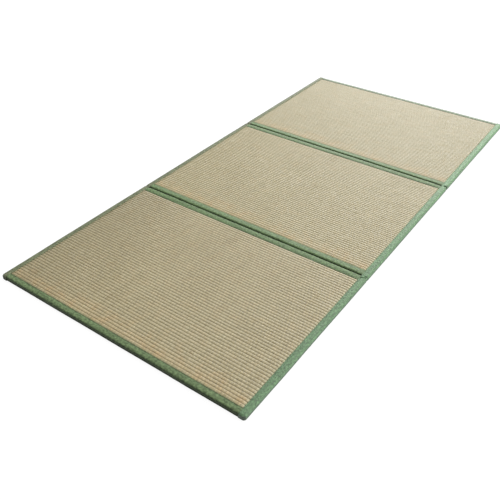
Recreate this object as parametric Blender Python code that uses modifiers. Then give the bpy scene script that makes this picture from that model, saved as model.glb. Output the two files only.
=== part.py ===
"""Three-panel rush mat bound in green cloth tape, lying flat.

Metres, +Z up. X runs across the mat and Y along it, from the front end to the back end.
The origin is the centre of the outline, on the surface that the mat lies on.
"""

import math

import bmesh
import bpy
from mathutils import Matrix, Vector

# The whole mat
MAT_WIDTH = 1.000
MAT_LENGTH = 2.100
MAT_THICKNESS = 0.020
PANEL_NAMES = ("front", "middle", "back")
PANEL_LENGTH = MAT_LENGTH / len(PANEL_NAMES)
CORNER_RADIUS = 0.010

# Cloth tape, and the clearance between two pieces that touch
TAPE_THICKNESS = 0.0015
GAP = 0.0003
TAPE_TOP = 0.0194
TAPE_EDGE_RADIUS = 0.006
SIDE_TAPE_WIDTH = 0.0225
END_TAPE_WIDTH = 0.0225
END_TAPE_INSET = 0.002
HINGE_TAPE_HALF_WIDTH = 0.0285

# Groove that a hinge tape makes between two panels
GROOVE_RADIUS = 0.0065
GROOVE_HALF_GAP = 0.0015
GROOVE_DEPTH = 0.0100
GROOVE_REACH = GROOVE_RADIUS + GROOVE_HALF_GAP

# Crease of a side tape at a fold: cuts across the tape, and how far the tape gives way there
CREASE_FOOT = 0.006
CREASE_PINCH = 0.0045
CREASE_PINCH_REACH = 0.009
CREASE_CUTS = (0.0, 0.002, 0.0035, 0.0055, GROOVE_REACH, CREASE_PINCH_REACH)
CREASE_SLIT_WIDTH = 0.011
CREASE_BRIDGE_START = 0.015
CREASE_BRIDGE_SHARE = 0.25

# Panel body under the tape, and the ribs of its rush face
RIM_CORNER_RADIUS = 0.008
RIM_EDGE_RADIUS = TAPE_EDGE_RADIUS - TAPE_THICKNESS - GAP
RIM_END_AT_FOLD = 0.0036
BODY_END_AT_FOLD = 0.006
BODY_STEP_HEIGHT = 0.009
BODY_CHAMFER = 0.001
RIB_PITCH = 0.0115
RIB_RELIEF = 0.0008
RIB_ROWS = (
    # place along the pitch, height as a share of the relief
    (0.00, 0.00),
    (0.12, 0.55),
    (0.32, 0.93),
    (0.50, 1.00),
    (0.68, 0.93),
    (0.88, 0.55),
)

ARC_STEPS = 5
EDGE_ROUND_STEPS = 2
WELD_DISTANCE = 0.00001
FLAT_ANGLE = math.radians(0.1)
BLANK_WIDTH = 2.0 * SIDE_TAPE_WIDTH
# Stands a flat outline up: its own x runs along the mat, its y upward and its thickness across
SECTION_ACROSS_MAT = Matrix(((0, 0, 1, 0), (1, 0, 0, 0), (0, 1, 0, 0), (0, 0, 0, 1)))

TAPE_COLOUR = (0.185, 0.300, 0.175, 1.0)
TAPE_ROUGHNESS = 0.85
RUSH_COLOUR = (0.500, 0.420, 0.255, 1.0)
RUSH_ROUGHNESS = 0.75


def clear_scene():
    for obj in list(bpy.data.objects):
        bpy.data.objects.remove(obj, do_unlink=True)


def new_collection(name):
    collection = bpy.data.collections.new(name)
    bpy.context.scene.collection.children.link(collection)
    return collection


def new_material(name, colour, roughness):
    material = bpy.data.materials.new(name)
    material.use_nodes = True
    shader = material.node_tree.nodes["Principled BSDF"]
    shader.inputs["Base Color"].default_value = colour
    shader.inputs["Roughness"].default_value = roughness
    shader.inputs["Metallic"].default_value = 0.0
    return material


def add_object(name, data, collection):
    obj = bpy.data.objects.new(name, data)
    collection.objects.link(obj)
    return obj


def place(obj, x, y, turn=0.0):
    """Puts an object on the surface, turned about its own vertical by an angle in degrees."""
    obj.location = (x, y, 0.0)
    obj.rotation_euler = (0.0, 0.0, math.radians(turn))


def arc_points(centre, radius, start, end, steps):
    """Points of an arc, angles in degrees, both ends included."""
    points = []
    for step in range(steps + 1):
        angle = math.radians(start + (end - start) * step / steps)
        points.append((centre[0] + radius * math.cos(angle), centre[1] + radius * math.sin(angle)))
    return points


def rounded_rectangle(x_low, x_high, y_low, y_high, radius):
    """Counter-clockwise outline of a rectangle with round corners."""
    corners = (
        (x_low + radius, y_low + radius, 180.0),
        (x_high - radius, y_low + radius, 270.0),
        (x_high - radius, y_high - radius, 0.0),
        (x_low + radius, y_high - radius, 90.0),
    )
    points = []
    for x, y, start in corners:
        points += arc_points((x, y), radius, start, start + 90.0, ARC_STEPS)
    return points


def outline_mesh(name, points, thickness, edge_radius):
    """Closed body: a flat 2D curve, thickened about its plane, with its caps welded."""
    curve = bpy.data.curves.new(name, "CURVE")
    curve.dimensions = "2D"
    curve.fill_mode = "BOTH"
    curve.extrude = thickness / 2.0 - edge_radius
    curve.bevel_depth = edge_radius
    curve.bevel_resolution = EDGE_ROUND_STEPS
    curve.offset = -edge_radius
    spline = curve.splines.new("POLY")
    spline.points.add(len(points) - 1)
    for point, (x, y) in zip(spline.points, points):
        point.co = (x, y, 0.0, 1.0)
    spline.use_cyclic_u = True
    guide = add_object(name + "_guide", curve, bpy.context.scene.collection)
    graph = bpy.context.evaluated_depsgraph_get()
    mesh = bpy.data.meshes.new_from_object(guide.evaluated_get(graph))
    bpy.data.objects.remove(guide, do_unlink=True)
    shape = bmesh.new()
    shape.from_mesh(mesh)
    bmesh.ops.remove_doubles(shape, verts=shape.verts, dist=WELD_DISTANCE)
    bmesh.ops.dissolve_limit(shape, angle_limit=FLAT_ANGLE, verts=shape.verts, edges=shape.edges)
    bmesh.ops.recalc_face_normals(shape, faces=shape.faces)
    shape.to_mesh(mesh)
    shape.free()
    return mesh


def formed_sheet(name, section, stations):
    """Open sheet: a grid formed over a section (y, z), along stations of X."""
    shape = bmesh.new()
    bmesh.ops.create_grid(shape, x_segments=len(stations) - 1, y_segments=len(section) - 1, size=1.0)
    for vert in shape.verts:
        column = round((vert.co.x + 1.0) / 2.0 * (len(stations) - 1))
        row = round((vert.co.y + 1.0) / 2.0 * (len(section) - 1))
        y, z = section[row]
        vert.co = (stations[column], y, z)
    mesh = bpy.data.meshes.new(name)
    shape.to_mesh(mesh)
    shape.free()
    return mesh


def add_tape(name, mesh, collection):
    """Cloth tape whose outer face is the mesh, thickened inward."""
    obj = add_object(name, mesh, collection)
    obj.data.materials.append(new_material(name, TAPE_COLOUR, TAPE_ROUGHNESS))
    obj.data.shade_smooth()
    solidify = obj.modifiers.new("cloth", "SOLIDIFY")
    solidify.thickness = TAPE_THICKNESS
    solidify.offset = -1.0
    solidify.use_even_offset = True
    return obj


def fold_places():
    """Y of each line where two panels meet."""
    return [-MAT_LENGTH / 2.0 + PANEL_LENGTH * count for count in range(1, len(PANEL_NAMES))]


def groove_drop(distance):
    """How far the groove's surface lies below the tape's top, at a distance from the fold."""
    distance = abs(distance)
    if distance >= GROOVE_REACH:
        return 0.0
    if distance <= GROOVE_HALF_GAP:
        share = 1.0 - distance / GROOVE_HALF_GAP
        return GROOVE_RADIUS + (GROOVE_DEPTH - GROOVE_RADIUS) * share
    inset = GROOVE_REACH - distance
    return GROOVE_RADIUS - math.sqrt(GROOVE_RADIUS ** 2 - inset ** 2)


def end_tape_section():
    """C round the panel's edge, from the bottom leg to the top leg, y inward from the outer face."""
    radius = TAPE_EDGE_RADIUS
    bottom = arc_points((radius, radius), radius, 270.0, 180.0, ARC_STEPS)
    top = arc_points((radius, TAPE_TOP - radius), radius, 180.0, 90.0, ARC_STEPS)
    return [(END_TAPE_WIDTH, 0.0)] + bottom + top + [(END_TAPE_WIDTH, TAPE_TOP)]


def hinge_tape_section():
    """Flat strip on either side and the groove between them, y from the fold."""
    centre = (GROOVE_REACH, TAPE_TOP - GROOVE_RADIUS)
    shoulder = arc_points(centre, GROOVE_RADIUS, 180.0, 90.0, ARC_STEPS + 1)
    half = [(GROOVE_HALF_GAP / 2.0, TAPE_TOP - GROOVE_DEPTH)] + shoulder
    half.append((HINGE_TAPE_HALF_WIDTH, TAPE_TOP))
    return [(-y, z) for y, z in reversed(half)] + half


def cross_tape_stations():
    """The cross tapes run between the two side tapes."""
    reach = MAT_WIDTH / 2.0 - SIDE_TAPE_WIDTH - GAP
    return (-reach, reach)


def add_end_tape(name, collection):
    """Tape folded round one end of the mat."""
    return add_tape(name, formed_sheet(name, end_tape_section(), cross_tape_stations()), collection)


def add_hinge_tape(name, collection):
    """Tape over two panels at a fold, tucked down between them."""
    return add_tape(name, formed_sheet(name, hinge_tape_section(), cross_tape_stations()), collection)


def ramp(low, high, value):
    """0 below the low value, 1 above the high one, straight between."""
    return min(1.0, max(0.0, (value - low) / (high - low)))


def crease(co, fold):
    """Moves a point of a side tape: drawn in at the outer edge and sunk across the fold."""
    distance = abs(co.y - fold)
    inward = -co.x
    if distance < CREASE_PINCH_REACH:
        pinch = CREASE_PINCH * (1.0 - (distance / CREASE_PINCH_REACH) ** 2) ** 2
        co.x -= pinch * (1.0 - inward / SIDE_TAPE_WIDTH)
    if co.z > CREASE_FOOT:
        bridge = ramp(CREASE_SLIT_WIDTH, CREASE_BRIDGE_START, inward)
        share = 1.0 + (CREASE_BRIDGE_SHARE - 1.0) * bridge
        height = (co.z - CREASE_FOOT) / (TAPE_TOP - CREASE_FOOT)
        co.z -= share * height * groove_drop(distance)


def crease_cuts(fold):
    """Y of each cut across a side tape round a fold, none of them twice."""
    return sorted({fold + sign * distance for distance in CREASE_CUTS for sign in (-1, 1)})


def cut(shape, place, normal, clear=False):
    """Cuts the shape along a plane, and can clear what lies beyond it."""
    geometry = shape.verts[:] + shape.edges[:] + shape.faces[:]
    bmesh.ops.bisect_plane(shape, geom=geometry, plane_co=place, plane_no=normal, clear_outer=clear)


def add_side_tape(name, collection):
    """Tape over one whole side, closed round both ends, x inward (negative) from the outer face."""
    reach = MAT_LENGTH / 2.0
    outline = rounded_rectangle(-BLANK_WIDTH, 0.0, -reach, reach, CORNER_RADIUS)
    mesh = outline_mesh(name, outline, TAPE_TOP, TAPE_EDGE_RADIUS)
    mesh.transform(Matrix.Translation((0.0, 0.0, TAPE_TOP / 2.0)))
    shape = bmesh.new()
    shape.from_mesh(mesh)
    inward = Vector((-1.0, 0.0, 0.0))
    cut(shape, SIDE_TAPE_WIDTH * inward, inward, clear=True)
    cut(shape, CREASE_SLIT_WIDTH * inward, inward)
    cut(shape, CREASE_BRIDGE_START * inward, inward)
    for fold in fold_places():
        for y in crease_cuts(fold):
            cut(shape, (0.0, y, 0.0), (0.0, 1.0, 0.0))
        for vert in shape.verts:
            crease(vert.co, fold)
    shape.to_mesh(mesh)
    shape.free()
    return add_tape(name, mesh, collection)


def ribs(low, high):
    """Points (y, z) along the rush face, whole ribs from its low end to its high end."""
    count = round((high - low) / RIB_PITCH)
    pitch = (high - low) / count
    valley = MAT_THICKNESS - RIB_RELIEF
    points = []
    for rib in range(count):
        for place, height in RIB_ROWS:
            points.append((low + (rib + place) * pitch, valley + height * RIB_RELIEF))
    points.append((high, valley))
    return points


def body_section(face, foot):
    """Outline (y, z) of a panel's body: ribbed face on top, flat foot below, a step between them."""
    foot_low, foot_high = foot
    underside = [
        (foot_low, BODY_CHAMFER),
        (foot_low + BODY_CHAMFER, 0.0),
        (foot_high - BODY_CHAMFER, 0.0),
        (foot_high, BODY_CHAMFER),
    ]
    step_high = [(foot_high, BODY_STEP_HEIGHT), (face[1], BODY_STEP_HEIGHT)]
    step_low = [(face[0], BODY_STEP_HEIGHT), (foot_low, BODY_STEP_HEIGHT)]
    return underside + step_high + ribs(*face)[::-1] + step_low


def end_distances(at_fold):
    """How far the rim, the rush face and the foot stay back from a fold, or from an end of the mat."""
    if at_fold:
        return RIM_END_AT_FOLD, HINGE_TAPE_HALF_WIDTH + GAP, BODY_END_AT_FOLD
    tape_end = END_TAPE_INSET + END_TAPE_WIDTH + GAP
    return END_TAPE_INSET + TAPE_THICKNESS + GAP, tape_end, tape_end


def panel_limits(number):
    """Y limits of a panel's rim, of its rush face and of its foot, from the panel's own centre."""
    half = PANEL_LENGTH / 2.0
    at_low = end_distances(number > 0)
    at_high = end_distances(number < len(PANEL_NAMES) - 1)
    return [(low - half, half - high) for low, high in zip(at_low, at_high)]


def add_rush_panel(number, collection, cutters):
    """Rim that the tapes cover, joined to the thicker ribbed body."""
    name = "rush_panel_" + PANEL_NAMES[number]
    rim, face, foot = panel_limits(number)
    rim_reach = MAT_WIDTH / 2.0 - TAPE_THICKNESS - GAP
    rim_low = TAPE_THICKNESS + GAP
    rim_high = TAPE_TOP - TAPE_THICKNESS - GAP
    outline = rounded_rectangle(-rim_reach, rim_reach, rim[0], rim[1], RIM_CORNER_RADIUS)
    rim_mesh = outline_mesh(name, outline, rim_high - rim_low, RIM_EDGE_RADIUS)
    panel = add_object(name, rim_mesh, collection)
    panel.data.transform(Matrix.Translation((0.0, 0.0, (rim_low + rim_high) / 2.0)))
    panel.data.materials.append(new_material(name, RUSH_COLOUR, RUSH_ROUGHNESS))

    face_reach = MAT_WIDTH / 2.0 - SIDE_TAPE_WIDTH - GAP
    body_mesh = outline_mesh(name + "_body", body_section(face, foot), 2.0 * face_reach, 0.0)
    body_mesh.transform(SECTION_ACROSS_MAT)
    body = add_object(name + "_body", body_mesh, cutters)
    body.parent = panel
    body.hide_render = True
    body.display_type = "WIRE"
    union = panel.modifiers.new("body", "BOOLEAN")
    union.operation = "UNION"
    union.solver = "EXACT"
    union.object = body
    return panel


def main():
    clear_scene()
    parts = new_collection("tatami_mat")
    cutters = new_collection("joined_bodies")
    for number in range(len(PANEL_NAMES)):
        centre = (number + 0.5) * PANEL_LENGTH - MAT_LENGTH / 2.0
        place(add_rush_panel(number, parts, cutters), 0.0, centre)
    end = MAT_LENGTH / 2.0 - END_TAPE_INSET
    place(add_end_tape("front_tape", parts), 0.0, -end)
    place(add_end_tape("back_tape", parts), 0.0, end, turn=180.0)
    for name, fold in zip(("hinge_tape_front", "hinge_tape_back"), fold_places()):
        place(add_hinge_tape(name, parts), 0.0, fold)
    place(add_side_tape("left_tape", parts), -MAT_WIDTH / 2.0, 0.0, turn=180.0)
    place(add_side_tape("right_tape", parts), MAT_WIDTH / 2.0, 0.0)
    bpy.context.view_layer.update()


main()
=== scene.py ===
import math

import bpy
import numpy as np
from mathutils import Matrix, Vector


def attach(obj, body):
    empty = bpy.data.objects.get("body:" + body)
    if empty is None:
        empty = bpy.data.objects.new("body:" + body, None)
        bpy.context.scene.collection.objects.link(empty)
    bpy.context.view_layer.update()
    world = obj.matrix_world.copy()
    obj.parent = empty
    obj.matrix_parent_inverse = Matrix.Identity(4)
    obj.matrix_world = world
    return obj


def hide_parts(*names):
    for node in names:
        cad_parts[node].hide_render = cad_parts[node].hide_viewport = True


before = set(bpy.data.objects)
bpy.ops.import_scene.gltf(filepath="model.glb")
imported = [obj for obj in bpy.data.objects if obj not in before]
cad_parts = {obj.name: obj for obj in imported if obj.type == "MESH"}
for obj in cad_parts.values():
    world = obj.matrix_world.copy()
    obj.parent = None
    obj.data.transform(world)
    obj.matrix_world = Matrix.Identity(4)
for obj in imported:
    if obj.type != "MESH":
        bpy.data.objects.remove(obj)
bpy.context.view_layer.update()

# The mat
HALF_WIDTH = 0.500
HALF_LENGTH = 1.050
FOLDS = (-0.350, 0.350)
PANEL_LENGTH = 0.700
RIB_PITCH = 0.0115
RIBS = 56
FACE_HALF_WIDTH = 0.4775
LEFT_FACE_HALF_WIDTH = 0.4795
FACE_END = 0.0245
FACE_AT_FOLD = 0.0285

# Shapes of a rush panel
VALLEY_HEIGHT = 0.0188
RIB_RELIEF = 0.0013
RIB_FULLNESS = 0.7
RIB_PLACES = (0.0, 0.07, 0.18, 0.34, 0.50, 0.66, 0.82, 0.93)
FACE_COLUMNS = 150
TUCK = 0.0008
SEAM_DIP = 0.0016
SEAM_DIP_REACH = 0.006
SKIRT_HEIGHT = 0.0165
RIM_LOW = 0.0018
RIM_HIGH = 0.0172
RIM_CORNER = 0.016
RIM_CORNER_STEPS = 6
RIM_EDGE = 0.0042
RIM_EDGE_STEPS = 4
RIM_END = 0.0038
RIM_AT_FOLD = 0.0036
RIM_SIDE = 0.0018
FOOT_AT_FOLD = 0.006
FOOT_INSET = 0.0003
FOOT_CHAMFER = 0.001
SMALLEST_CORNER = 0.0002

# Shapes of the tapes
TAPE_THICKNESS = 0.0015
TAPE_TOP = 0.0194
TAPE_EDGE = 0.006
TAPE_EDGE_STEPS = 5
TAPE_STEP = 0.0026
CORNER_RADIUS = 0.010
CORNER_STEPS = 10
SIDE_TAPE_WIDTH = 0.0225
LEFT_TAPE_WIDTH = 0.0205
SIDE_TAPE_LIFT = 0.0003
SIDE_UNDER_ROWS = (0.0, 0.0050, 0.0100)
TAIL_STATIONS = 5
BORDER_END_GAP = 0.001
BORDER_SPREAD = 0.020
CROSS_TAPE_DROP = 0.0002
END_TAPE_WIDTH = 0.0225
END_TAPE_INSET = 0.002
END_UNDER_INSETS = (END_TAPE_WIDTH, 0.013)
HINGE_HALF_WIDTH = 0.0285
HINGE_CROWN = 0.0014
HINGE_CROWN_FADE = 0.030
GROOVE_RADIUS = 0.0065
GROOVE_STEPS = 7
GROOVE_REACH = 0.008
GROOVE_HALF_GAP = 0.0015
GROOVE_DEPTH = 0.0100
# Where the groove's floor turns up, as shares of its half gap and of its depth
GROOVE_TURN = (0.6, 0.93)

# Sewing. The rows lie on a tape's flat, at distances from its border, and one of them lies on the seam.
FLAT_ROWS = np.array([0.0, 0.0005, 0.0013, 0.0022, 0.0030, 0.0038, 0.0048, 0.0065, 0.0090, 0.0120])
SEAM_ROW = 4
SEAM_INSET = 0.0030
SEAM_REACH = 0.0012
SEAM_DEPTH = 0.00045
SEAM_PUCKER = 0.4
PUCKER_REACH = 0.0050
PUCKER_HEIGHT = 0.00022
CROWN_WIDTH = 0.016
CROWN_HEIGHT = 0.00030
CROWN_SWELL = 0.5
BORDER_REACH = 0.0007
BORDER_DROP = 0.00035
# The hinge tape is gathered along its groove
GATHER_REACH = 0.008
GATHER_SHIFT = 0.0004
GATHER_HEIGHT = 0.00035
GROOVE_SHIFT = 0.0006
# Stitches
STITCH_PITCH = 0.0042
STITCH_LENGTH = 0.0032
STITCH_HALF_WIDTH = 0.00032
STITCH_SHOULDER = 0.6

# Random wander: the spacing of its knots, and the most that it adds
RUSH_DRIFT = (0.25, 0.0007)
RIB_WANDER = (0.06, 0.0003)
RIB_LIFT = (0.035, 0.14)
FACE_SWELL = (0.16, 0.0004)
SIDE_WAVER = ((0.11, 0.0004), (0.014, 0.00012))
END_WAVER = ((0.13, 0.0004), (0.015, 0.00012))
PUCKERS = (0.0052, 1.0)
CROWN_SWELLS = (0.045, 1.0)
GATHERS = (0.0060, 1.0)
GROOVE_DRIFT = (0.08, 1.0)

# Seeds of the random draws
PANEL_SEEDS = (11, 12, 13)
SIDE_SEEDS = {"right": 41, "left": 42}
END_SEEDS = {"front": 50, "back": 52}
HINGE_SEEDS = {"front": 61, "back": 62}

# Creases of the side tapes at the folds. Each is a slit in the outer part of the tape, which bridges the groove
# further in.
CREASE_FOOT = 0.006
CREASE_PINCH_REACH = 0.009
CREASE_SLIT_WIDTH = 0.011
CREASE_BRIDGE_START = 0.015
CREASE_BRIDGE_SHARE = 0.08
CREASE_BUMP = 0.0009
CREASE_BUMP_REACH = 0.0055
CREASE_ZONE = 0.020
CREASE_STATIONS = 53
CREASES = {
    # side: at the front fold and at the back fold, how far the slit lies off the fold towards the back, how far
    # the outer edge is drawn in, and the slit's share of the groove's depth
    "right": ((-0.0030, 0.0012, 0.35), (0.0010, 0.0026, 0.90)),
    "left": ((0.0005, 0.0006, 0.30), (0.0010, 0.0020, 0.60)),
}
# The wrinkle across the right-hand tape at the front fold: inset and distance from the fold at its two ends, then
# where its trough and its ridge lie off that line, how far they reach and their height
WRINKLE_ENDS = ((0.0, -0.008), (SIDE_TAPE_WIDTH, -0.018))
WRINKLE_TROUGH = (0.0, 0.0020, -0.0014)
WRINKLE_RIDGE = (0.0046, 0.0028, 0.0017)

# Name of the UV map that the materials read
UV_NAME = "Cloth"

# Looks of the rush
PANEL_LOOKS = (
    # name, contrast of the weave, painted shade at the left side, tint
    ("front", 0.95, 0.86, (1.0, 1.0, 0.99)),
    ("middle", 0.72, 1.0, (0.995, 1.01, 0.98)),
    ("back", 0.40, 1.0, (0.985, 1.01, 1.0)),
)
STEM_COLOURS = (
    # tone, colour
    (0.15, (0.317, 0.238, 0.106)),
    (0.38, (0.447, 0.366, 0.187)),
    (0.55, (0.513, 0.425, 0.229)),
    (0.72, (0.563, 0.473, 0.272)),
    (0.90, (0.508, 0.473, 0.256)),
)
# A low contrast draws the tones towards this mean, and the valleys' tints and painted shade towards theirs
TONE_MEAN = 0.55
STEM_TONE = 0.30
RUN_TONE = 0.20
STREAK_TONE = 0.30
PATCH_TONE = 0.30
STEM_WIDTH = 0.0017
# Painted shade at the edges of each round stem, and painted light along its middle
PAINTED_STEM_EDGE_SHADE = 0.72
PAINTED_STEM_ROUND_LIGHT = 0.30
STEM_SWAY = 3.0
# Noise in the rush: its scale for each metre across the mat and for each rib along it, and its detail
SWAY = (14.0, 0.10, 2.0)
VALLEY_WANDER = (130.0, 0.9, 1.0)
STREAKS = (170.0, 0.035, 1.0)
PATCHES = (5.0, 0.06, 2.0)
WARM_PATCHES = (28.0, 0.33, 1.0)
SPECKS = (230.0, 2.3, 1.0)
VALLEY_TINTS_AND_SHADES = (
    # place from a rib's crest to the valley, tint: the binding's darker colour and painted shade in the valley
    (0.36, (0.99, 1.00, 1.05)),
    (0.66, (0.82, 0.82, 0.78)),
    (0.95, (0.43, 0.40, 0.31)),
)
VALLEY_MEAN = (0.86, 0.86, 0.87)
VALLEY_WANDER_SHARE = 0.36
# Painted green light bounced from the tapes onto the rush: how far it reaches, and its tint
PAINTED_BOUNCE_REACH = 0.009
PAINTED_BOUNCE_TINT = (1.0, 1.11, 1.10)
FRONT_GLOW = (1.08, 1.025, 0.98)
FRONT_GLOW_RIBS = (1.0, 5.5)
WARM_LIMITS = (0.45, 0.70)
WARM_TINTS = ((0.0, (0.99, 1.005, 1.01)), (1.0, (1.06, 0.985, 0.91)))
WARM_FADE_RIBS = (2.0, 9.0)
WARM_FADED = 0.35
# How far in from the left side the painted shade reaches
PAINTED_LEFT_SHADE_REACH = 0.42
# Beads are the darker and lighter stretches along a rib where its stems are bound
BEAD_PITCH = 0.0114
BEAD_STEP = 0.4
BEAD_SWAY = 1.2
BEAD_SHADE = 0.10
BEAD_CHANCE = 0.10
SPECK = 0.36
RUSH_ROUGHNESS = 0.40
STEM_ROUGHNESS = 0.14
RUSH_GLOSS = 1.0
RUSH_BUMP_ROUND = 0.7
RUSH_BUMP_STEM = 0.3
RUSH_BUMP_SPECK = 0.8
RUSH_BUMP = (0.0005, 0.7)

# Looks of the tapes. The painted side shades and front shades go with the heights, which are shares of the tape's
# top.
# The side and front shades are painted shade: darker low on a tape's sides and on faces that turn to the front end
SHADE_HEIGHTS = (0.0, 0.15, 0.35, 0.60, 0.85, 0.97)
PAINTED_SIDE_SHADES = (0.12, 0.28, 0.60, 0.76, 0.92, 1.0)
PAINTED_RIGHT_SIDE_SHADES = (0.03, 0.08, 0.36, 0.64, 0.92, 1.0)
PAINTED_FRONT_SHADES = (0.008, 0.012, 0.10, 0.19, 0.22, 0.72)
# Each tape's dye is the mat's one green cloth shifted by painted light and shade where that tape lies
TAPE_LOOKS = {
    # name: dye with painted light and shade, painted side shades, extra roughness of the side, painted border shade,
    # painted light at the groove and at the back, gloss, nap
    "right_tape": ((0.122, 0.229, 0.107), PAINTED_RIGHT_SIDE_SHADES, 0.25, 0.95, 1.0, 1.40, 0.62, 0.11),
    "left_tape": ((0.166, 0.188, 0.106), PAINTED_SIDE_SHADES, 0.30, 1.15, 1.0, 1.0, 0.32, 0.02),
    "front_tape": ((0.155, 0.220, 0.105), PAINTED_SIDE_SHADES, 0.45, 0.36, 1.0, 1.0, 0.15, 0.0),
    "back_tape": ((0.140, 0.195, 0.095), PAINTED_SIDE_SHADES, 0.20, 0.80, 1.0, 1.0, 0.70, 0.10),
    "hinge_tape": ((0.140, 0.218, 0.089), PAINTED_SIDE_SHADES, 0.0, 0.80, 1.14, 1.0, 0.45, 0.08),
    "green_thread": ((0.190, 0.265, 0.150), PAINTED_SIDE_SHADES, 0.0, 1.0, 1.0, 1.0, 0.50, 0.10),
}
# Share of the dye at each tone
TONES = ((0.39, 0.60), (0.50, 1.0), (0.61, 1.50))
# Noise in the tapes: its scale for each metre along and across the tape, and its detail
SLUBS = (260.0, 900.0, 3.0)
FADING = (9.0, 60.0, 3.0)
MOTTLING = (120.0, 150.0, 1.0)
SLUB_TONE = 0.30
FADE_TONE = 0.20
MOTTLE_TONE = 0.50
WEAVE_PITCH = 0.0011
WEAVE_MEAN = 0.96
WEAVE_SHADE = 0.10
# Faces that turn to the front end get the painted front shades, and those that turn to the floor get no painted shade
TO_FRONT_LIMITS = (-0.60, -0.05)
TO_FLOOR_LIMITS = (-0.95, -0.70)
# Reach of the painted shade along a tape's border, where it is sewn down to the rush
PAINTED_BORDER_SHADE_LIMITS = (0.0004, 0.0028)
# Reach of the painted light on the hinge tape towards its groove
PAINTED_GROOVE_LIGHT_LIMITS = (0.012, 0.020)
SIDE_ROUGH_HEIGHTS = (0.30, 0.85)
TAPE_ROUGHNESS = 0.44
SLUB_ROUGHNESS = 0.16
NAP_ROUGHNESS = 0.40
NAP_TINT = (0.75, 1.0, 0.82, 1.0)
TAPE_BUMP_WEAVE = 0.5
TAPE_BUMP = (0.00025, 0.6)

# Floor and light. Azimuth is turned from +Y towards +X, and radiance is the white that a softbox shows. The dome is
# brightest towards the bright side, and a haze keeps its horizon white.
FLOOR_REACH = 30.0
FLOOR_DROP = 0.0002
FLOOR_COLOUR = (0.22, 0.22, 0.22, 1.0)
FLOOR_ROUGHNESS = 0.9
FLOOR_GLOSS = 0.1
FLOOR_GLOW = 0.87
WHITE = (1.0, 1.0, 1.0, 1.0)
LIGHT_DISTANCE = 6.0
SOFTBOXES = (
    # name, radiance, size, azimuth, elevation
    ("back_softbox", 4.25, (5.0, 4.4), -13.0, 29.0),
)
DOME_BRIGHT_SIDE = (0.90, 0.12, 0.42)
DOME_EDGE = 0.15
DOME_LOW = 0.25
DOME_HIGH = 1.75
HAZE_HEIGHTS = (0.12, 0.22)

# Camera, fitted to the outline and the folds in the photograph, with the mat's width and equal panels held
CAMERA_PLACE = (1.1009, -1.8798, 1.3516)
CAMERA_RIGHT = (0.815063, 0.579361, 0.003524)
CAMERA_DOWN = (0.354095, -0.493318, -0.794515)
CAMERA_FORWARD = (-0.458573, 0.648828, -0.607235)
CAMERA_LENS = 45.051
CAMERA_SENSOR = 36.0
CAMERA_CLIP = (0.05, 100.0)


def eased(share):
    """A share from 0 to 1 that starts and ends softly."""
    return share * share * (3 - 2 * share)


def wander(rng, along, spacing, amount):
    """Smooth random values along a line, one knot every spacing."""
    start = along.min()
    knots = rng.uniform(-amount, amount, int((along.max() - start) / spacing) + 3)
    place = (along - start) / spacing
    low = place.astype(int)
    share = eased(place - low)
    return knots[low] * (1 - share) + knots[low + 1] * share


def waver(rng, along, layers):
    """Several wanders along a line, one on the other."""
    return sum(wander(rng, along, *layer) for layer in layers)


def wander_over(rng, x, y, spacing, amount):
    """Smooth random heights over a grid, x along its columns and y along its rows."""
    rows = int((y.max() - y.min()) / spacing) + 3
    lines = np.array([wander(rng, x, spacing, amount) for _ in range(rows)])
    place = (y - y.min()) / spacing
    low = place.astype(int)
    share = eased(place - low)[:, None]
    return lines[low] * (1 - share) + lines[low + 1] * share


def arc(centre, radius, start, end, steps):
    """Points of an arc, angles in degrees, both ends included."""
    angles = np.radians(np.linspace(start, end, steps + 1))
    return [(centre[0] + radius * math.cos(a), centre[1] + radius * math.sin(a)) for a in angles]


def new_piece(name, points, faces, uv, material):
    """A mesh object with one UV pair for each point."""
    mesh = bpy.data.meshes.new(name)
    mesh.from_pydata(points.tolist(), [], faces)
    mesh.uv_layers.new(name=UV_NAME)
    corners = np.zeros(len(mesh.loops), int)
    mesh.loops.foreach_get("vertex_index", corners)
    mesh.uv_layers[UV_NAME].data.foreach_set("uv", uv[corners].astype(np.float32).ravel())
    mesh.shade_smooth()
    mesh.materials.append(material)
    piece = bpy.data.objects.new(name, mesh)
    bpy.context.scene.collection.objects.link(piece)
    return piece


def grid_faces(rows, columns):
    """Quads of a grid of points stored row by row, facing up where x grows along a row and y from row to row."""
    index = np.arange(rows * columns).reshape(rows, columns)
    corners = (index[:-1, :-1], index[:-1, 1:], index[1:, 1:], index[1:, :-1])
    return np.stack(corners, -1).reshape(-1, 4).tolist()


def ring(x_low, x_high, y_low, y_high, radius):
    """Counter-clockwise outline of a rectangle with round corners."""
    corners = (
        (x_low + radius, y_low + radius, 180),
        (x_high - radius, y_low + radius, 270),
        (x_high - radius, y_high - radius, 0),
        (x_low + radius, y_high - radius, 90),
    )
    points = []
    for x, y, start in corners:
        points += arc((x, y), radius, start, start + 90, RIM_CORNER_STEPS)
    return np.array(points)


def slab(x_limits, y_limits, corner, section):
    """Points and faces of a closed slab: its outline drawn in by each inset of the section, at each height."""
    layers = []
    for inset, height in section:
        flat = ring(x_limits[0] + inset, x_limits[1] - inset, y_limits[0] + inset, y_limits[1] - inset,
                    max(corner - inset, SMALLEST_CORNER))
        layers.append(np.column_stack([flat, np.full(len(flat), height)]))
    count = len(layers[0])
    faces = [list(range(count))[::-1]]
    for layer in range(len(layers) - 1):
        for i in range(count):
            a, b = layer * count + i, layer * count + (i + 1) % count
            faces.append([a, b, b + count, a + count])
    faces.append([(len(layers) - 1) * count + i for i in range(count)])
    return np.concatenate(layers), faces


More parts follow.
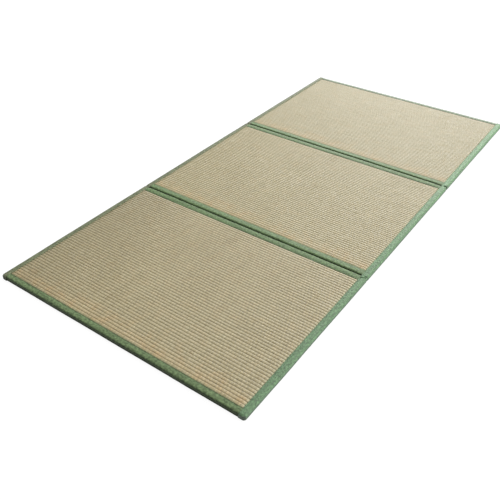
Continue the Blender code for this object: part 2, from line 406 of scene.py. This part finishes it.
def rounded_section(low, high, edge, steps):
    """Insets and heights of a slab's side with round edges."""
    lower = [(edge - x, z) for x, z in arc((0, low + edge), edge, 270, 360, steps)]
    upper = [(edge - x, z) for x, z in arc((0, high - edge), edge, 0, 90, steps)]
    return lower + upper


# Rush panels


def panel_limits(number):
    """Y limits of a panel's rush face, of its rim and of its foot."""
    low = PANEL_LENGTH * number - HALF_LENGTH
    high = low + PANEL_LENGTH
    first, last = number == 0, number == 2
    limits = []
    for at_end, at_fold in ((FACE_END, FACE_AT_FOLD), (RIM_END, RIM_AT_FOLD), (FACE_END, FOOT_AT_FOLD)):
        limits.append((low + (at_end if first else at_fold), high - (at_end if last else at_fold)))
    return limits


def rush_face(rng, low, high):
    """Grid of the ribbed face. Its UVs are metres across the mat, and ribs along it."""
    count = round((high - low) / RIB_PITCH)
    pitch = (high - low) / count
    x = np.linspace(-LEFT_FACE_HALF_WIDTH - TUCK, FACE_HALF_WIDTH + TUCK, FACE_COLUMNS)
    drift = wander(rng, x, *RUSH_DRIFT)
    lines = np.array([wander(rng, x, *RIB_WANDER) + drift for _ in range(count + 1)])
    lines[0] = lines[-1] = 0.0
    places, heights, ribs = [], [], []
    for rib in range(count):
        lift = 1.0 + wander(rng, x, *RIB_LIFT)
        for place in RIB_PLACES:
            places.append(low + (rib + place) * pitch + lines[rib] * (1 - place) + lines[rib + 1] * place)
            heights.append(RIB_RELIEF * lift * math.sin(math.pi * place) ** RIB_FULLNESS)
            ribs.append(rib + place)
    places.append(np.full(FACE_COLUMNS, high))
    heights.append(np.zeros(FACE_COLUMNS))
    ribs.append(count)
    y = np.array(places)
    y[0] -= TUCK
    y[-1] += TUCK
    rows = y[:, 0]
    z = VALLEY_HEIGHT + np.array(heights) + wander_over(rng, x, np.sort(rows), *FACE_SWELL)
    from_side = np.minimum(x + LEFT_FACE_HALF_WIDTH, FACE_HALF_WIDTH - x)[None, :]
    from_end = np.minimum(y - low, high - y)
    inside = np.clip(np.minimum(from_side, from_end), 0.0, None)
    z -= SEAM_DIP * np.exp(-((inside / SEAM_DIP_REACH) ** 2))
    grid = np.stack([np.broadcast_to(x, y.shape), y, z], -1)
    uv = np.stack(np.broadcast_arrays(x + HALF_WIDTH, np.array(ribs)[:, None]), -1)
    return with_skirt(grid), with_skirt(uv), pitch


def with_skirt(grid):
    """Repeats the grid's border. Points of the repeat drop to the skirt's height, where the grid holds points."""
    grid = np.concatenate([grid[:1], grid, grid[-1:]])
    grid = np.concatenate([grid[:, :1], grid, grid[:, -1:]], 1)
    if grid.shape[-1] == 3:
        grid[[0, -1], :, 2] = SKIRT_HEIGHT
        grid[:, [0, -1], 2] = SKIRT_HEIGHT
    return grid


def rush_panel(name, number, material):
    """One mesh: the ribbed face, the rim that the tapes hold and the flat foot."""
    face, rim, foot = panel_limits(number)
    rng = np.random.default_rng(PANEL_SEEDS[number])
    grid, uv, pitch = rush_face(rng, *face)
    rows, columns = grid.shape[:2]
    points, faces = [grid.reshape(-1, 3)], grid_faces(rows, columns)
    maps = [uv.reshape(-1, 2)]
    side = HALF_WIDTH - RIM_SIDE
    foot_side = FACE_HALF_WIDTH - FOOT_INSET
    foot_section = [(FOOT_CHAMFER, 0.0), (0.0, FOOT_CHAMFER), (0.0, SKIRT_HEIGHT)]
    for x_reach, y_limits, corner, section in (
        (side, rim, RIM_CORNER, rounded_section(RIM_LOW, RIM_HIGH, RIM_EDGE, RIM_EDGE_STEPS)),
        (foot_side, foot, 2 * FOOT_CHAMFER, foot_section),
    ):
        more, more_faces = slab((-x_reach, x_reach), y_limits, corner, section)
        start = sum(len(p) for p in points)
        faces += [[start + i for i in f] for f in more_faces]
        points.append(more)
        maps.append(np.stack([more[:, 0] + HALF_WIDTH, (more[:, 1] - face[0]) / pitch], -1))
    piece = new_piece(name, np.concatenate(points), faces, np.concatenate(maps), material)
    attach(piece, "root")
    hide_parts(name.replace("rush_", "rush_panel_"))
    return piece


# Tapes


def groove_drop(distance):
    """How far the groove's surface lies below the tape's top, at distances from the fold."""
    distance = np.abs(distance)
    inset = np.clip(GROOVE_REACH - distance, 0.0, GROOVE_RADIUS)
    shoulder = GROOVE_RADIUS - np.sqrt(GROOVE_RADIUS**2 - inset**2)
    floor = GROOVE_RADIUS + (GROOVE_DEPTH - GROOVE_RADIUS) * (1.0 - distance / GROOVE_HALF_GAP)
    return np.where(distance <= GROOVE_HALF_GAP, floor, shoulder)


def ramp(low, high, values):
    """0 below the low value, 1 above the high one, and smooth between."""
    return eased(np.clip((values - low) / (high - low), 0.0, 1.0))


def height_share(points):
    """Share of the way up from the creases' foot to the tape's top."""
    return np.clip((points[..., 2] - CREASE_FOOT) / (TAPE_TOP - CREASE_FOOT), 0.0, None)


def crease(points, fold, skew, pinch, depth):
    """Draws a right-hand side tape in at its outer edge and sinks it across a fold.

    The slit in the outer part lies off the fold by the skew. Further in, the tape bridges the groove and swells.
    """
    inward = HALF_WIDTH - points[..., 0]
    bridged = ramp(CREASE_SLIT_WIDTH, CREASE_BRIDGE_START, inward)
    outer_share = np.clip(1.0 - inward / SIDE_TAPE_WIDTH, 0.0, 1.0)
    distance = np.abs(points[..., 1] - fold - skew * (1.0 - bridged))
    near = np.clip(1.0 - (distance / CREASE_PINCH_REACH) ** 2, 0.0, None)
    points[..., 0] -= pinch * near**2 * outer_share
    share = depth + (CREASE_BRIDGE_SHARE - depth) * bridged
    height = height_share(points)
    points[..., 2] -= share * height * groove_drop(distance)
    points[..., 2] += CREASE_BUMP * bridged * height * np.exp(-((distance / CREASE_BUMP_REACH) ** 2))


def wrinkle(points, fold):
    """A puckered line across a right-hand side tape, next to a fold."""
    (outer, outer_y), (inner, inner_y) = WRINKLE_ENDS
    share = (HALF_WIDTH - points[..., 0] - outer) / (inner - outer)
    distance = points[..., 1] - fold - outer_y - share * (inner_y - outer_y)
    height = height_share(points)
    for middle, reach, lift in (WRINKLE_TROUGH, WRINKLE_RIDGE):
        points[..., 2] += lift * height * np.exp(-(((distance - middle) / reach) ** 2))


def sewn_relief(rng, along, from_border):
    """Height that sewing gives a tape's flat: a sunk seam, puckers round it, a soft crown and a rounded border.

    along has a value for each column and from_border one for each row.
    """
    from_border = from_border[:, None]
    from_seam = from_border - SEAM_INSET
    seam = np.exp(-((from_seam / SEAM_REACH) ** 2))
    round_it = np.exp(-((from_seam / PUCKER_REACH) ** 2))
    crown = np.clip(np.sin(np.pi * np.clip(from_seam / CROWN_WIDTH, 0.0, 1.0)), 0.0, None)
    border = np.exp(-((from_border / BORDER_REACH) ** 2))
    pucker = wander(rng, along, *PUCKERS)
    swell = wander(rng, along, *CROWN_SWELLS)
    return (
        -SEAM_DEPTH * seam * (1.0 + SEAM_PUCKER * pucker)
        + PUCKER_HEIGHT * round_it * pucker
        + CROWN_HEIGHT * crown * (1.0 + CROWN_SWELL * swell)
        - BORDER_DROP * border
    )


def tape(node, grid, along, across, material):
    """A sheet through the grid's points, which lie on its outer face, thickened inward."""
    rows, columns = grid.shape[:2]
    uv = np.stack(np.broadcast_arrays(along, across[:, None]), -1)
    name = node.replace("tape", "binding")
    piece = new_piece(name, grid.reshape(-1, 3), grid_faces(rows, columns), uv.reshape(-1, 2), material)
    thicken = piece.modifiers.new("cloth", "SOLIDIFY")
    thicken.thickness = TAPE_THICKNESS
    thicken.offset = -1.0
    thicken.use_even_offset = False
    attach(piece, "root")
    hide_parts(node)
    return piece


def declare_tape(node, thread):
    """Attaches a tape's stitching to the root and hides the tape's part."""
    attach(thread, "root")
    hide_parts(node)


def developed(section):
    """Distance along a section's points."""
    steps = np.linalg.norm(np.diff(np.array(section), axis=0), axis=1)
    return np.concatenate([[0.0], np.cumsum(steps)])


def side_path(width):
    """Stations along the right-hand tape: points of its outline and border, the way inward, the distance along it."""
    reach = HALF_LENGTH - CORNER_RADIUS
    straight = [y for y in np.linspace(-reach, reach, round(2 * reach / TAPE_STEP) + 1)
                if min(abs(y - fold) for fold in FOLDS) > CREASE_ZONE]
    for fold in FOLDS:
        straight += list(fold + np.linspace(-CREASE_ZONE, CREASE_ZONE, CREASE_STATIONS))
    straight = sorted(straight)
    centre_x = HALF_WIDTH - CORNER_RADIUS
    tail = np.linspace(HALF_WIDTH - width, centre_x, TAIL_STATIONS)[:-1]
    outline = [(x, -HALF_LENGTH) for x in tail]
    outline += arc((centre_x, -reach), CORNER_RADIUS, 270, 360, CORNER_STEPS)[:-1]
    outline += [(HALF_WIDTH, y) for y in straight]
    outline += arc((centre_x, reach), CORNER_RADIUS, 0, 90, CORNER_STEPS)[1:]
    outline += [(x, HALF_LENGTH) for x in tail[::-1]]
    outline = np.array(outline)
    core = np.stack([np.minimum(outline[:, 0], centre_x), np.clip(outline[:, 1], -reach, reach)], -1)
    inward = (core - outline) / np.linalg.norm(core - outline, axis=1)[:, None]
    along = developed(outline)
    along -= along[-1] / 2
    # The border is shorter than the outline, so its points close up over the last stretch at each end.
    end_y = HALF_LENGTH - TAPE_EDGE - BORDER_END_GAP
    spread = reach - BORDER_SPREAD
    share = np.clip((np.abs(along) - spread) / (along[-1] - spread), 0.0, 1.0)
    border_y = np.sign(along) * np.where(share > 0, spread + share * (end_y - spread), np.abs(along))
    border = np.stack([np.full(len(along), HALF_WIDTH - width), border_y], -1)
    return outline, border, inward, along


def side_tape(side, material, thread):
    """Tape over one whole side. It is worked out as the right-hand one, and turned for the left."""
    rng = np.random.default_rng(SIDE_SEEDS[side])
    width = SIDE_TAPE_WIDTH if side == "right" else LEFT_TAPE_WIDTH
    outline, border, inward, along = side_path(width)
    outline = outline + inward * waver(rng, along, SIDE_WAVER)[:, None]
    top = TAPE_TOP + SIDE_TAPE_LIFT
    round_edge = rounded_section(0.0, top, TAPE_EDGE, TAPE_EDGE_STEPS)
    rows, across = [], []
    edge_line = outline + inward * TAPE_EDGE
    flat_width = width - TAPE_EDGE

    def flat_row(from_border, height):
        share = from_border / flat_width
        line = border * (1 - share) + edge_line * share
        return np.column_stack([line, np.broadcast_to(height, len(line))])

    arc_lengths = developed(round_edge)
    round_start = flat_width + arc_lengths[-1]
    for from_border in SIDE_UNDER_ROWS:
        rows.append(flat_row(from_border, 0.0))
        across.append(round_start + flat_width - from_border)
    for (inset, height), length in zip(round_edge, arc_lengths):
        rows.append(np.column_stack([outline + inward * inset, np.full(len(outline), height)]))
        across.append(round_start - length)
    relief = sewn_relief(rng, along, FLAT_ROWS)
    for from_border, lift in zip(FLAT_ROWS[::-1], relief[::-1]):
        rows.append(flat_row(from_border, top + lift))
        across.append(from_border)
    grid = np.array(rows)
    creases = CREASES[side]
    if side == "left":
        creases = [(-skew, *rest) for skew, *rest in creases[::-1]]
    for fold, (skew, pinch, depth) in zip(FOLDS, creases):
        crease(grid, fold, skew, pinch, depth)
    if side == "right":
        wrinkle(grid, FOLDS[0])
    else:
        grid[..., :2] *= -1.0
    node = side + "_tape"
    piece = tape(node, grid, along, np.array(across), material)
    sewn = stitches(side + "_stitching", [grid[-1 - SEAM_ROW]], thread)
    declare_tape(node, sewn)


def cross_stations():
    """Places along a tape that crosses the mat. Its ends run in under the side tapes."""
    low, high = -LEFT_FACE_HALF_WIDTH - TUCK, FACE_HALF_WIDTH + TUCK
    return np.linspace(low, high, round((high - low) / TAPE_STEP) + 1)


def end_tape(name, end, material, thread):
    """Tape folded round an end of the mat, -1 for the front and 1 for the back. It is worked out at the front."""
    rng = np.random.default_rng(END_SEEDS[name])
    along = cross_stations()
    if end > 0:
        along = -along[::-1]
    top = TAPE_TOP - CROSS_TAPE_DROP
    section = [(inset, 0.0) for inset in END_UNDER_INSETS]
    section += rounded_section(0.0, top, TAPE_EDGE, TAPE_EDGE_STEPS)
    section += [(inset, top) for inset in END_TAPE_WIDTH - FLAT_ROWS[::-1]]
    across = developed(section)
    across = across[-1] - across
    shift = waver(rng, along, END_WAVER)
    grid = np.zeros((len(section), len(along), 3))
    for row, (inset, height) in enumerate(section):
        grid[row, :, 0] = along
        grid[row, :, 1] = END_TAPE_INSET - HALF_LENGTH + inset + shift * (1 - inset / END_TAPE_WIDTH)
        grid[row, :, 2] = height
    grid[-len(FLAT_ROWS):, :, 2] += sewn_relief(rng, along, FLAT_ROWS)[::-1]
    if end > 0:
        grid[..., :2] *= -1.0
    piece = tape(name + "_tape", grid, along, across, material)
    sewn = stitches(name + "_stitching", [grid[-1 - SEAM_ROW]], thread)
    declare_tape(name + "_tape", sewn)


def hinge_tape(name, fold, material, thread):
    """Tape over two panels at a fold, tucked down between them, puckered along the groove."""
    rng = np.random.default_rng(HINGE_SEEDS[name])
    along = cross_stations()
    top = TAPE_TOP - CROSS_TAPE_DROP
    half = [(0.0, top - GROOVE_DEPTH), (GROOVE_HALF_GAP * GROOVE_TURN[0], top - GROOVE_DEPTH * GROOVE_TURN[1])]
    half += arc((GROOVE_REACH, top - GROOVE_RADIUS), GROOVE_RADIUS, 180, 90, GROOVE_STEPS)
    half += [(HINGE_HALF_WIDTH - d, top) for d in FLAT_ROWS[::-1]]
    section = [(-y, z) for y, z in half[:0:-1]] + half
    across = developed(section)
    width = across[-1]
    across = np.minimum(across, width - across)
    places = np.array(section)
    grid = np.zeros((len(section), len(along), 3))
    gather = wander(rng, along, *GATHERS)
    drift = wander(rng, along, *GROOVE_DRIFT)
    at_groove = np.exp(-((places[:, :1] / GATHER_REACH) ** 2))
    grid[..., 0] = along
    grid[..., 1] = fold + places[:, :1] + at_groove * (GATHER_SHIFT * gather + GROOVE_SHIFT * drift)
    grid[..., 2] = places[:, 1:] + at_groove * GATHER_HEIGHT * wander(rng, along, *GATHERS)
    grid[-len(FLAT_ROWS):, :, 2] += sewn_relief(rng, along, FLAT_ROWS)[::-1]
    grid[:len(FLAT_ROWS), :, 2] += sewn_relief(rng, along, FLAT_ROWS)
    distance = np.abs(places[:, 0])
    crown = ramp(0.0, GROOVE_REACH, distance) * (HINGE_HALF_WIDTH - distance) / (HINGE_HALF_WIDTH - GROOVE_REACH)
    from_tape_end = np.minimum(along - along[0], along[-1] - along)
    grid[..., 2] += HINGE_CROWN * crown[:, None] * ramp(0.0, HINGE_CROWN_FADE, from_tape_end)
    piece = tape("hinge_tape_" + name, grid, along, across, material)
    sewn = stitches("hinge_stitching_" + name, [grid[SEAM_ROW], grid[-1 - SEAM_ROW]], thread)
    declare_tape("hinge_tape_" + name, sewn)


# Stitching


def stitches(name, runs, material):
    """Short threads laid along lines of points, as one mesh.

    The points of a thread are a tip, four round it at each shoulder, and the other tip.
    """
    rims = [[x, y, z] for x in (-STITCH_SHOULDER, STITCH_SHOULDER) for y, z in ((1, 0), (0, 1), (-1, 0), (0, -1))]
    shape = np.array([[-1, 0, 0]] + rims + [[1, 0, 0]])
    size = np.array([STITCH_LENGTH / 2, STITCH_HALF_WIDTH, STITCH_HALF_WIDTH])
    part = [[0, 2, 1], [0, 3, 2], [0, 4, 3], [0, 1, 4]]
    part += [[1 + i, 1 + (i + 1) % 4, 5 + (i + 1) % 4, 5 + i] for i in range(4)]
    part += [[9, 5, 6], [9, 6, 7], [9, 7, 8], [9, 8, 5]]
    points, faces = [], []
    for run in runs:
        distance = developed(run)
        middles = np.arange(STITCH_PITCH, distance[-1] - STITCH_PITCH, STITCH_PITCH)
        for middle in middles:
            ends = [np.array([np.interp(middle + d, distance, run[:, k]) for k in range(3)])
                    for d in (-STITCH_LENGTH / 2, STITCH_LENGTH / 2)]
            forward = ends[1] - ends[0]
            forward /= np.linalg.norm(forward)
            up = np.array([0.0, 0.0, 1.0])
            sideways = np.cross(up, forward)
            sideways /= np.linalg.norm(sideways)
            axes = np.array([forward, sideways, np.cross(forward, sideways)])
            faces += [[i + len(shape) * len(points) for i in f] for f in part]
            points.append((ends[0] + ends[1]) / 2 + (shape * size) @ axes)
    points = np.concatenate(points)
    return new_piece(name, points, faces, points[:, :2], material)


# Materials


def feed(tree, socket, value):
    """Links a socket's output, or sets a number."""
    if isinstance(value, bpy.types.NodeSocket):
        tree.links.new(value, socket)
    else:
        socket.default_value = value


def calc(tree, operation, *values):
    node = tree.nodes.new("ShaderNodeMath")
    node.operation = operation
    for socket, value in zip(node.inputs, values):
        feed(tree, socket, value)
    return node.outputs[0]


def sums(tree):
    """Functions that add, subtract and multiply in a material's tree."""
    def sum_of(operation):
        return lambda *values: calc(tree, operation, *values)

    return sum_of("ADD"), sum_of("SUBTRACT"), sum_of("MULTIPLY")


def vector(tree, x, y, z=0.0):
    node = tree.nodes.new("ShaderNodeCombineXYZ")
    for socket, value in zip(node.inputs, (x, y, z)):
        feed(tree, socket, value)
    return node.outputs[0]


def noise(tree, place, look):
    """Noise over two coordinates. The look is the scale of each, and the detail."""
    *scales, detail = look
    node = tree.nodes.new("ShaderNodeTexNoise")
    node.inputs["Scale"].default_value = 1.0
    node.inputs["Detail"].default_value = detail
    scaled = [calc(tree, "MULTIPLY", value, scale) for value, scale in zip(place, scales)]
    tree.links.new(vector(tree, *scaled), node.inputs["Vector"])
    return node.outputs["Fac"]


def chance(tree, place):
    """A random number for each whole place."""
    node = tree.nodes.new("ShaderNodeTexWhiteNoise")
    node.noise_dimensions = "3D"
    tree.links.new(place, node.inputs["Vector"])
    return node.outputs["Value"]


def colours(tree, value, stops):
    """The colour at a value, from stops of place and colour."""
    node = tree.nodes.new("ShaderNodeValToRGB")
    band = node.color_ramp
    while len(band.elements) < len(stops):
        band.elements.new(0.5)
    for element, (place, colour) in zip(band.elements, stops):
        element.position = place
        element.color = (*colour, 1.0)
    tree.links.new(value, node.inputs[0])
    return node.outputs[0]


def shaded(tree, colour, value):
    """The colour times a number."""
    node = tree.nodes.new("ShaderNodeVectorMath")
    node.operation = "SCALE"
    feed(tree, node.inputs[0], colour)
    feed(tree, node.inputs["Scale"], value)
    return node.outputs[0]


def tinted(tree, colour, tint):
    """The colour times another."""
    node = tree.nodes.new("ShaderNodeVectorMath")
    node.operation = "MULTIPLY"
    feed(tree, node.inputs[0], colour)
    feed(tree, node.inputs[1], tint)
    return node.outputs[0]


def smooth_step(tree, value, low, high, at_low, at_high):
    """One number up to the low value, another from the high value on, and smooth between."""
    node = tree.nodes.new("ShaderNodeMapRange")
    node.interpolation_type = "SMOOTHSTEP"
    for socket, number in zip(node.inputs, (value, low, high, at_low, at_high)):
        feed(tree, socket, number)
    return node.outputs[0]


def new_material(name):
    material = bpy.data.materials.new(name)
    material.use_nodes = True
    tree = material.node_tree
    return material, tree, tree.nodes["Principled BSDF"]


def parts(tree, value):
    """X, Y and Z of a vector."""
    node = tree.nodes.new("ShaderNodeSeparateXYZ")
    tree.links.new(value, node.inputs[0])
    return node.outputs


def cloth_uv(tree):
    node = tree.nodes.new("ShaderNodeUVMap")
    node.uv_map = UV_NAME
    return tuple(parts(tree, node.outputs[0]))[:2]


def bumped(tree, shader, height, distance, strength):
    node = tree.nodes.new("ShaderNodeBump")
    node.inputs["Strength"].default_value = strength
    node.inputs["Distance"].default_value = distance
    tree.links.new(height, node.inputs["Height"])
    tree.links.new(node.outputs[0], shader.inputs["Normal"])


def rush_material(name, contrast, painted_left_shade, tint):
    """Stems side by side across each rib, bound down in the valleys between the ribs.

    The UVs are metres from the mat's left side, and ribs along the panel.
    """
    material, tree, shader = new_material(name)
    uv = across, rib = cloth_uv(tree)
    add, minus, times = sums(tree)

    def from_middle(value):
        """0 in the middle of each whole step of the value, and 1 where two steps meet."""
        return times(calc(tree, "ABSOLUTE", add(calc(tree, "FRACT", value), -0.5)), 2.0)

    def centred(value):
        return add(value, -0.5)

    # Stems
    row = calc(tree, "FLOOR", rib)
    odd = calc(tree, "FRACT", times(row, 0.5))
    sway = noise(tree, uv, SWAY)
    stem = add(add(calc(tree, "DIVIDE", across, STEM_WIDTH), odd), times(sway, STEM_SWAY))
    number = calc(tree, "FLOOR", stem)
    in_stem = from_middle(stem)
    roundness = minus(1.0, times(in_stem, in_stem))
    own = chance(tree, vector(tree, number, row, 1.0))
    run = chance(tree, vector(tree, minus(number, odd), 0.0, 2.0))
    streak = noise(tree, uv, STREAKS)
    patch = noise(tree, uv, PATCHES)
    tone = add(add(times(own, STEM_TONE), times(run, RUN_TONE)),
               add(times(streak, STREAK_TONE), times(patch, PATCH_TONE)))
    tone = add(times(tone, contrast), (1.0 - contrast) * TONE_MEAN)
    colour = colours(tree, tone, STEM_COLOURS)

    # Valleys, darker with the binding's own colour and with painted shade
    to_valley = add(from_middle(rib), times(centred(noise(tree, uv, VALLEY_WANDER)), VALLEY_WANDER_SHARE))
    valley = colours(tree, to_valley, [
        (place, [mean + contrast * (value - mean) for value, mean in zip(shades, VALLEY_MEAN)])
        for place, shades in VALLEY_TINTS_AND_SHADES
    ])
    colour = tinted(tree, colour, valley)

    # Painted green light bounced from the tapes next to them, a warm glow behind the front tape, and warm patches
    # that fade towards the back
    from_side = calc(tree, "MINIMUM", add(across, LEFT_FACE_HALF_WIDTH - HALF_WIDTH),
                     minus(HALF_WIDTH + FACE_HALF_WIDTH, across))
    from_end = times(calc(tree, "MINIMUM", rib, minus(RIBS, rib)), RIB_PITCH)
    painted_bounce = smooth_step(tree, calc(tree, "MINIMUM", from_side, from_end), 0.0, PAINTED_BOUNCE_REACH, 1.0, 0.0)
    colour = tinted(tree, colour, colours(tree, painted_bounce, ((0.0, tint), (1.0, PAINTED_BOUNCE_TINT))))
    near_front = times(smooth_step(tree, rib, *FRONT_GLOW_RIBS, 1.0, 0.0), minus(1.0, painted_bounce))
    colour = tinted(tree, colour, colours(tree, near_front, ((0.0, WHITE[:3]), (1.0, FRONT_GLOW))))
    warm = times(smooth_step(tree, noise(tree, uv, WARM_PATCHES), *WARM_LIMITS, 0.0, 1.0),
                 smooth_step(tree, rib, *WARM_FADE_RIBS, 1.0, WARM_FADED))
    colour = tinted(tree, colour, colours(tree, warm, WARM_TINTS))

    # Beads, specks, painted shade at the edges of the round stems, and painted shade at the left side
    bead = add(add(calc(tree, "DIVIDE", across, BEAD_PITCH), times(row, BEAD_STEP)), times(sway, BEAD_SWAY))
    wave = calc(tree, "COSINE", times(bead, 2 * math.pi))
    own_bead = chance(tree, vector(tree, calc(tree, "FLOOR", bead), row, 3.0))
    speck = noise(tree, uv, SPECKS)
    shade = add(1.0, times(wave, BEAD_SHADE * contrast))
    shade = add(shade, times(centred(own_bead), BEAD_CHANCE * contrast))
    shade = add(shade, times(centred(speck), SPECK * contrast))
    # Painted shade and light across each round stem
    shade = times(shade, add(PAINTED_STEM_EDGE_SHADE, times(roundness, PAINTED_STEM_ROUND_LIGHT)))
    # Painted shade at the left side, where less light falls
    shade = times(shade, smooth_step(tree, across, 0.0, PAINTED_LEFT_SHADE_REACH, painted_left_shade, 1.0))

    tree.links.new(shaded(tree, colour, shade), shader.inputs["Base Color"])
    tree.links.new(add(RUSH_ROUGHNESS, times(own, STEM_ROUGHNESS)), shader.inputs["Roughness"])
    shader.inputs["Specular IOR Level"].default_value = RUSH_GLOSS
    height = add(add(times(roundness, RUSH_BUMP_ROUND), times(own, RUSH_BUMP_STEM)), times(speck, RUSH_BUMP_SPECK))
    bumped(tree, shader, height, *RUSH_BUMP)
    return material


def tape_material(name, dye_and_painted_light, painted_side_shades, side_rough, painted_border_shade, painted_groove_light, painted_back_light, gloss, nap):
    """Plain-woven cotton tape, mottled in colour, with painted shade low on its sides and facing the front end.

    The UVs are metres along the tape, and metres across it from its upper or nearest border.
    """
    material, tree, shader = new_material(name)
    uv = along, across = cloth_uv(tree)
    add, minus, times = sums(tree)
    geometry = tree.nodes.new("ShaderNodeNewGeometry")
    place = parts(tree, geometry.outputs["Position"])
    facing = parts(tree, geometry.outputs["Normal"])
    height = calc(tree, "DIVIDE", place["Z"], TAPE_TOP)

    # Weave and dye
    warp = calc(tree, "SINE", times(along, 2 * math.pi / WEAVE_PITCH))
    weft = calc(tree, "SINE", times(across, 2 * math.pi / WEAVE_PITCH))
    weave = times(warp, weft)
    slub = noise(tree, uv, SLUBS)
    tone = add(times(slub, SLUB_TONE), times(noise(tree, uv, FADING), FADE_TONE))
    tone = add(tone, times(noise(tree, uv, MOTTLING), MOTTLE_TONE))
    colour = colours(tree, tone, [(tone_place, [share * value for value in dye_and_painted_light]) for tone_place, share in TONES])

    # Weave pattern, painted shade and painted light
    painted_side_shade, painted_front_shade = (
        colours(tree, height, [(level, (value,) * 3) for level, value in zip(SHADE_HEIGHTS, shades)])
        for shades in (painted_side_shades, PAINTED_FRONT_SHADES)
    )
    to_front = smooth_step(tree, facing["Y"], *TO_FRONT_LIMITS, 1.0, 0.0)
    to_floor = smooth_step(tree, facing["Z"], *TO_FLOOR_LIMITS, 1.0, 0.0)
    painted_low_shade = add(times(painted_front_shade, to_front), times(painted_side_shade, minus(1.0, to_front)))
    shade = add(WEAVE_MEAN, times(weave, WEAVE_SHADE))
    # Painted light that grows towards the back end of the mat
    shade = times(shade, smooth_step(tree, place["Y"], -HALF_LENGTH, HALF_LENGTH, 1.0, painted_back_light))
    shade = times(shade, calc(tree, "MAXIMUM", painted_low_shade, to_floor))
    # Painted shade along the border where the tape is sewn down; the left tape's border is painted lighter instead
    shade = times(shade, smooth_step(tree, across, *PAINTED_BORDER_SHADE_LIMITS, painted_border_shade, 1.0))
    # Painted light on the hinge tape towards its groove
    shade = times(shade, smooth_step(tree, across, *PAINTED_GROOVE_LIGHT_LIMITS, 1.0, painted_groove_light))

    tree.links.new(shaded(tree, colour, shade), shader.inputs["Base Color"])
    shader.inputs["Sheen Weight"].default_value = nap
    shader.inputs["Sheen Roughness"].default_value = NAP_ROUGHNESS
    shader.inputs["Sheen Tint"].default_value = NAP_TINT
    shader.inputs["Specular IOR Level"].default_value = gloss
    rough = add(TAPE_ROUGHNESS, times(slub, SLUB_ROUGHNESS))
    rough = add(rough, smooth_step(tree, height, *SIDE_ROUGH_HEIGHTS, side_rough, 0.0))
    tree.links.new(rough, shader.inputs["Roughness"])
    bumped(tree, shader, add(times(weave, TAPE_BUMP_WEAVE), slub), *TAPE_BUMP)
    return material


def floor_material():
    """Pale floor that glows a little, so it stays white all round the mat."""
    material, _, shader = new_material("pale_floor")
    shader.inputs["Base Color"].default_value = FLOOR_COLOUR
    shader.inputs["Roughness"].default_value = FLOOR_ROUGHNESS
    shader.inputs["Specular IOR Level"].default_value = FLOOR_GLOSS
    shader.inputs["Emission Color"].default_value = WHITE
    shader.inputs["Emission Strength"].default_value = FLOOR_GLOW
    return material


# Floor, light and camera


def place_floor():
    corners = [(x * FLOOR_REACH, y * FLOOR_REACH, 0) for x, y in ((-1, -1), (1, -1), (1, 1), (-1, 1))]
    mesh = bpy.data.meshes.new("floor")
    mesh.from_pydata(corners, [], [(0, 1, 2, 3)])
    mesh.materials.append(floor_material())
    floor = bpy.data.objects.new("floor", mesh)
    floor.location = (0, 0, -FLOOR_DROP)
    bpy.context.scene.collection.objects.link(floor)


def dome():
    """World light: a bright side, a dim one, and a white haze at the horizon."""
    world = bpy.data.worlds.new("studio")
    world.use_nodes = True
    tree = world.node_tree
    background = tree.nodes["Background"]
    direction = tree.nodes.new("ShaderNodeTexCoord").outputs["Generated"]
    facing = tree.nodes.new("ShaderNodeVectorMath")
    facing.operation = "DOT_PRODUCT"
    tree.links.new(direction, facing.inputs[0])
    facing.inputs[1].default_value = DOME_BRIGHT_SIDE
    brightness = smooth_step(tree, facing.outputs["Value"], DOME_EDGE, 1.0, DOME_LOW, DOME_HIGH)
    haze = smooth_step(tree, parts(tree, direction)["Z"], *HAZE_HEIGHTS, 1.0, 0.0)
    tree.links.new(calc(tree, "MAXIMUM", brightness, haze), background.inputs["Strength"])
    background.inputs["Color"].default_value = WHITE
    bpy.context.scene.world = world


def softboxes():
    for name, radiance, (width, height), azimuth, elevation in SOFTBOXES:
        light = bpy.data.lights.new(name, "AREA")
        light.shape = "RECTANGLE"
        light.size, light.size_y = width, height
        light.energy = radiance * width * height * math.pi
        lamp = bpy.data.objects.new(name, light)
        turn, rise = math.radians(azimuth), math.radians(elevation)
        way = Vector((math.sin(turn) * math.cos(rise), math.cos(turn) * math.cos(rise), math.sin(rise)))
        lamp.location = way * LIGHT_DISTANCE
        lamp.rotation_mode = "QUATERNION"
        lamp.rotation_quaternion = (-way).to_track_quat("-Z", "Y")
        bpy.context.scene.collection.objects.link(lamp)


def camera():
    lens = bpy.data.cameras.new("camera")
    lens.sensor_width = CAMERA_SENSOR
    lens.lens = CAMERA_LENS
    lens.clip_start, lens.clip_end = CAMERA_CLIP
    view = bpy.data.objects.new("camera", lens)
    axes = Matrix([CAMERA_RIGHT, [-v for v in CAMERA_DOWN], [-v for v in CAMERA_FORWARD]]).transposed()
    view.matrix_world = Matrix.Translation(CAMERA_PLACE) @ axes.to_4x4()
    bpy.context.scene.collection.objects.link(view)
    bpy.context.scene.camera = view


def dress():
    """All pieces of the mat."""
    tapes = {name: tape_material(name, *look) for name, look in TAPE_LOOKS.items()}
    thread = tapes["green_thread"]
    panels = [rush_panel("rush_" + name, number, rush_material("rush_" + name, *look))
              for number, (name, *look) in enumerate(PANEL_LOOKS)]
    end_tape("front", -1, tapes["front_tape"], thread)
    end_tape("back", 1, tapes["back_tape"], thread)
    hinge_tape("front", FOLDS[0], tapes["hinge_tape"], thread)
    hinge_tape("back", FOLDS[1], tapes["hinge_tape"], thread)
    for side in ("left", "right"):
        side_tape(side, tapes[side + "_tape"], thread)


dress()
place_floor()
dome()
softboxes()
camera()
bpy.context.scene.view_settings.view_transform = "Standard"
